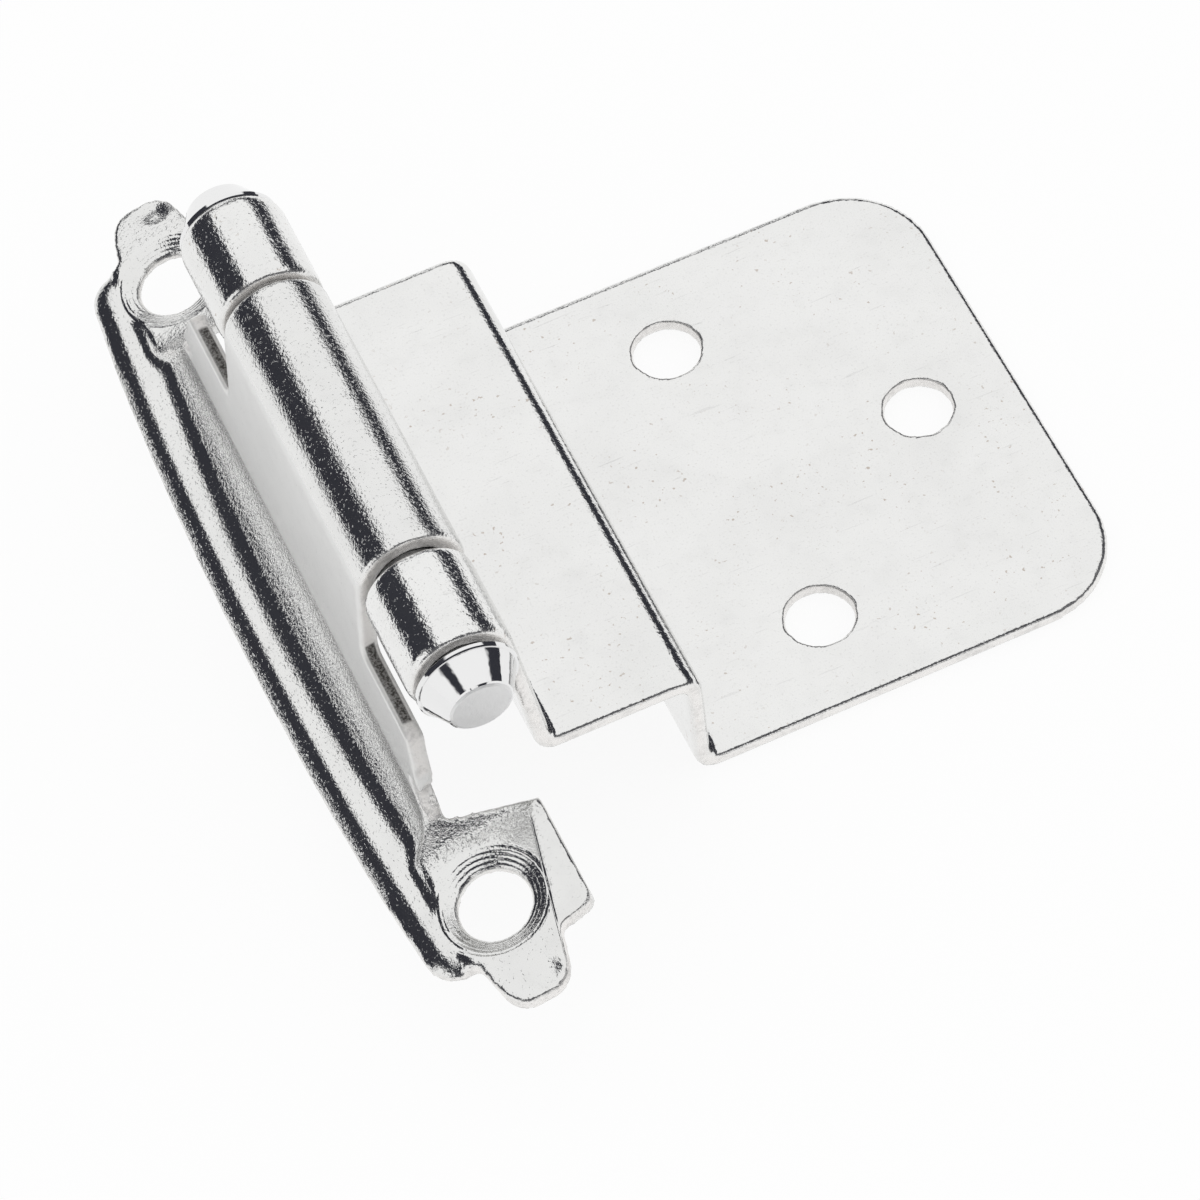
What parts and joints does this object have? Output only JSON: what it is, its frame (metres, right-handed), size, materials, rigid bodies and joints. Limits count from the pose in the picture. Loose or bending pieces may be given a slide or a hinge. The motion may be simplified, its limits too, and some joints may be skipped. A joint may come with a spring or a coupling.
{
  "type": "inset cabinet hinge",
  "caption": "Free-swinging inset cabinet hinge: stepped door leaf and pressed, bowed frame leaf with eared screw holes, joined by a plain pin with conical tips.",
  "frame": {"origin": "middle of the two-screw line on the screw plate's door-contact face", "axes": "+Z out of the screw plate's door-contact face, +Y along the pin towards the back tip, +X from the pin towards the screw plate's free edge"},
  "size_m": [0.0553, 0.069, 0.0254],
  "materials": {
    "door_leaf_plate": "bright plate over blanked steel, faintly speckled",
    "frame_leaf_plate": "bright plate over pressed steel with a fine grain",
    "pin_steel": "plain drawn wire",
    "tip_plate": "bright plate, turned smooth"
  },
  "bodies": {
    "door_side": {"door_leaf": "door_leaf_plate", "hinge_pin": "pin_steel", "pin_tip_front": "tip_plate", "pin_tip_back": "tip_plate"},
    "frame_side": {"frame_leaf": "frame_leaf_plate"}
  },
  "joints": [
    {"name": "leaf_swing", "type": "hinge", "parent": "door_side", "child": "frame_side", "pos_m": [-0.02604, 0, 0.0206], "axis": [0, 1, 0], "range_deg": [-33, 264]}
  ]
}
